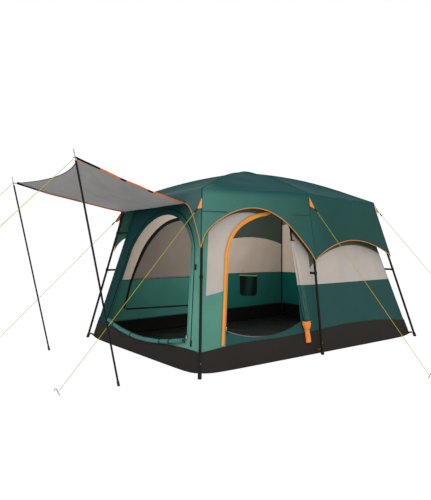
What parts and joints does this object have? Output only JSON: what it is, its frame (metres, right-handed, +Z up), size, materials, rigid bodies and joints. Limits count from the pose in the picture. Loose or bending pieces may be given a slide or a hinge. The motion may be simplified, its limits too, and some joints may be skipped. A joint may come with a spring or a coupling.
{
  "type": "family cabin tent",
  "caption": "Cabin tent on leaning steel legs and bowed roof poles, with arched doors, a scalloped rain fly, guy lines and a side awning on two loose poles.",
  "frame": {"origin": "middle of the floor's underside, on the ground", "axes": "+Z up, +X along the long front side away from the awning, -Y the front with the door"},
  "size_m": [6.1123, 3.6151, 2.0537],
  "materials": {
    "leg_steel": "black powder-coated steel tube",
    "roof_pole_fibre": "black glass-fibre rod",
    "black_moulding": "moulded black nylon",
    "bright_steel": "zinc-plated steel",
    "black_rubber": "black rubber",
    "awning_cloth": "coated polyester, grey silver underneath",
    "black_webbing": "black woven webbing",
    "groundsheet_cloth": "black woven polyethylene sheet",
    "wall_cloth": "green and cream coated polyester",
    "mesh_cloth": "fine dark insect mesh",
    "fly_cloth": "dark green coated polyester",
    "orange_cloth": "orange polyester",
    "guy_cord": "pale yellow-green braided cord",
    "zip_metal": "nickel-plated zip slider"
  },
  "bodies": {
    "tent": {"awning": "awning_cloth", "awning_corner_straps": "black_webbing", "fly_crown": "fly_cloth", "fly_roof_back": "fly_cloth", "fly_roof_front": "fly_cloth", "fly_roof_left": "fly_cloth", "fly_roof_right": "fly_cloth", "front_zip_flap": "orange_cloth", "gathered_front_door": "wall_cloth", "ground_pegs": "bright_steel", "groundsheet": "groundsheet_cloth", "guy_awning_back": "guy_cord", "guy_awning_front": "guy_cord", "guy_back_left": "guy_cord", "guy_front_left": "guy_cord", "guy_front_middle": "guy_cord", "guy_front_right": "guy_cord", "guy_tabs": "orange_cloth", "leg_back_left": "leg_steel", "leg_back_middle": "leg_steel", "leg_back_right": "leg_steel", "leg_feet": "black_moulding", "leg_front_left": "leg_steel", "leg_front_middle": "leg_steel", "leg_front_right": "leg_steel", "mesh_ceiling": "mesh_cloth", "roof_hub": "black_moulding", "roof_pole_back_left": "roof_pole_fibre", "roof_pole_back_middle": "roof_pole_fibre", "roof_pole_back_right": "roof_pole_fibre", "roof_pole_front_left": "roof_pole_fibre", "roof_pole_front_middle": "roof_pole_fibre", "roof_pole_front_right": "roof_pole_fibre", "shoulder_elbows": "black_moulding", "side_door_roll": "wall_cloth", "skirt": "groundsheet_cloth", "valance_back": "fly_cloth", "valance_front": "fly_cloth", "valance_left": "fly_cloth", "valance_right": "fly_cloth", "wall_back_left": "wall_cloth", "wall_back_right": "wall_cloth", "wall_clips": "black_moulding", "wall_front_left": "wall_cloth", "wall_front_right": "wall_cloth", "wall_left": "wall_cloth", "wall_pocket": "mesh_cloth", "wall_right": "wall_cloth"},
    "front_awning_pole": {"awning_pole_front": "leg_steel", "awning_spike_front": "bright_steel", "awning_shoe_front": "black_rubber"},
    "back_awning_pole": {"awning_pole_back": "leg_steel", "awning_spike_back": "bright_steel", "awning_shoe_back": "black_rubber"},
    "front_zip": {"front_zip_slider": "zip_metal"},
    "side_zip": {"side_zip_slider": "zip_metal"},
    "front_left_runner": {"runner_front_left": "black_moulding"},
    "front_middle_runner": {"runner_front_middle": "black_moulding"},
    "front_right_runner": {"runner_front_right": "black_moulding"},
    "back_left_runner": {"runner_back_left": "black_moulding"}
  },
  "joints": [
    {"name": "front_awning_pole_swing", "type": "hinge", "parent": "tent", "child": "front_awning_pole", "pos_m": [-2.6484, -1.00313, 1.77676], "axis": [0, -1, 0], "range_deg": [0, 20]},
    {"name": "back_awning_pole_swing", "type": "hinge", "parent": "tent", "child": "back_awning_pole", "pos_m": [-2.6484, 0.73313, 1.77676], "axis": [0, -1, 0], "range_deg": [0, 20]},
    {"name": "front_zip_slide", "type": "slide", "parent": "tent", "child": "front_zip", "axis": [0.2189, 0.2148, 0.9518], "range_m": [0, 0.68]},
    {"name": "side_zip_slide", "type": "slide", "parent": "tent", "child": "side_zip", "axis": [0.2195, 0.2415, 0.9452], "range_m": [0, 0.78]},
    {"name": "front_left_runner_slide", "type": "slide", "parent": "tent", "child": "front_left_runner", "axis": [-0.6748, -0.0396, -0.737], "range_m": [0, 0.25]},
    {"name": "front_middle_runner_slide", "type": "slide", "parent": "tent", "child": "front_middle_runner", "axis": [0, -0.6447, -0.7644], "range_m": [0, 0.25]},
    {"name": "front_right_runner_slide", "type": "slide", "parent": "tent", "child": "front_right_runner", "axis": [0.1501, -0.6172, -0.7723], "range_m": [0, 0.25]},
    {"name": "back_left_runner_slide", "type": "slide", "parent": "tent", "child": "back_left_runner", "axis": [-0.728, -0.0384, -0.6845], "range_m": [0, 0.25]}
  ]
}
